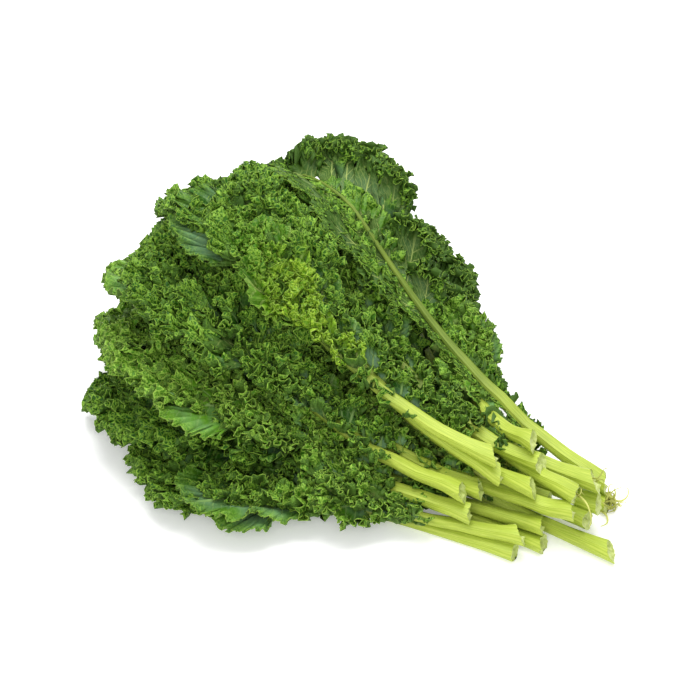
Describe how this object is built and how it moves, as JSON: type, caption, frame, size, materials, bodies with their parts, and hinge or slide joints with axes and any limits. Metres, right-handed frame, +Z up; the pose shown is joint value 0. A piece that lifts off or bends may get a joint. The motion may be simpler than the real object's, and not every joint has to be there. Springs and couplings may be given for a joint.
{
  "type": "kale bunch",
  "caption": "Bunch of cut curly kale lying on its side, pale stalks gathered to one end and frilled green leaves fanned out and heaped at the other.",
  "frame": {"origin": "on the table, under the centre of the bunch's bounding box", "axes": "+X towards the cut stalk ends along the bunch, +Y across it, +Z up from the table"},
  "size_m": [0.4295, 0.3231, 0.1684],
  "materials": {
    "stalk": "moist, lightly ridged, pale yellow-green",
    "leaf_green": "crisp curly leaf, waxy bloom on smooth parts",
    "leaf_underside": "paler leaf underside with raised pale veins",
    "leaf_young": "bright yellow-green young leaf"
  },
  "bodies": {
    "root": {"leaf_01_stalk": "stalk", "leaf_01_blade": "leaf_green", "leaf_02_stalk": "stalk", "leaf_02_blade": "leaf_green", "leaf_03_stalk": "stalk", "leaf_03_blade": "leaf_green", "leaf_04_stalk": "stalk", "leaf_04_blade": "leaf_green", "leaf_05_stalk": "stalk", "leaf_05_blade": "leaf_green", "leaf_06_stalk": "stalk", "leaf_06_blade": "leaf_green", "leaf_07_stalk": "stalk", "leaf_07_blade": "leaf_green", "leaf_08_stalk": "stalk", "leaf_08_blade": "leaf_green", "leaf_09_stalk": "stalk", "leaf_09_blade": "leaf_green", "leaf_10_stalk": "stalk", "leaf_10_blade": "leaf_green", "leaf_11_stalk": "stalk", "leaf_11_blade": "leaf_green", "leaf_12_stalk": "stalk", "leaf_12_blade": "leaf_green", "leaf_13_stalk": "stalk", "leaf_13_blade": "leaf_green", "leaf_14_stalk": "stalk", "leaf_14_blade": "leaf_green", "leaf_15_stalk": "stalk", "leaf_15_blade": "leaf_green", "leaf_16_stalk": "stalk", "leaf_16_blade": "leaf_green", "leaf_17_stalk": "stalk", "leaf_17_blade": "leaf_green", "leaf_18_stalk": "stalk", "leaf_18_blade": "leaf_green", "leaf_19_stalk": "stalk", "leaf_19_blade": "leaf_green", "leaf_20_stalk": "stalk", "leaf_20_blade": "leaf_underside", "leaf_21_stalk": "stalk", "leaf_21_blade": "leaf_young"}
  },
  "joints": []
}
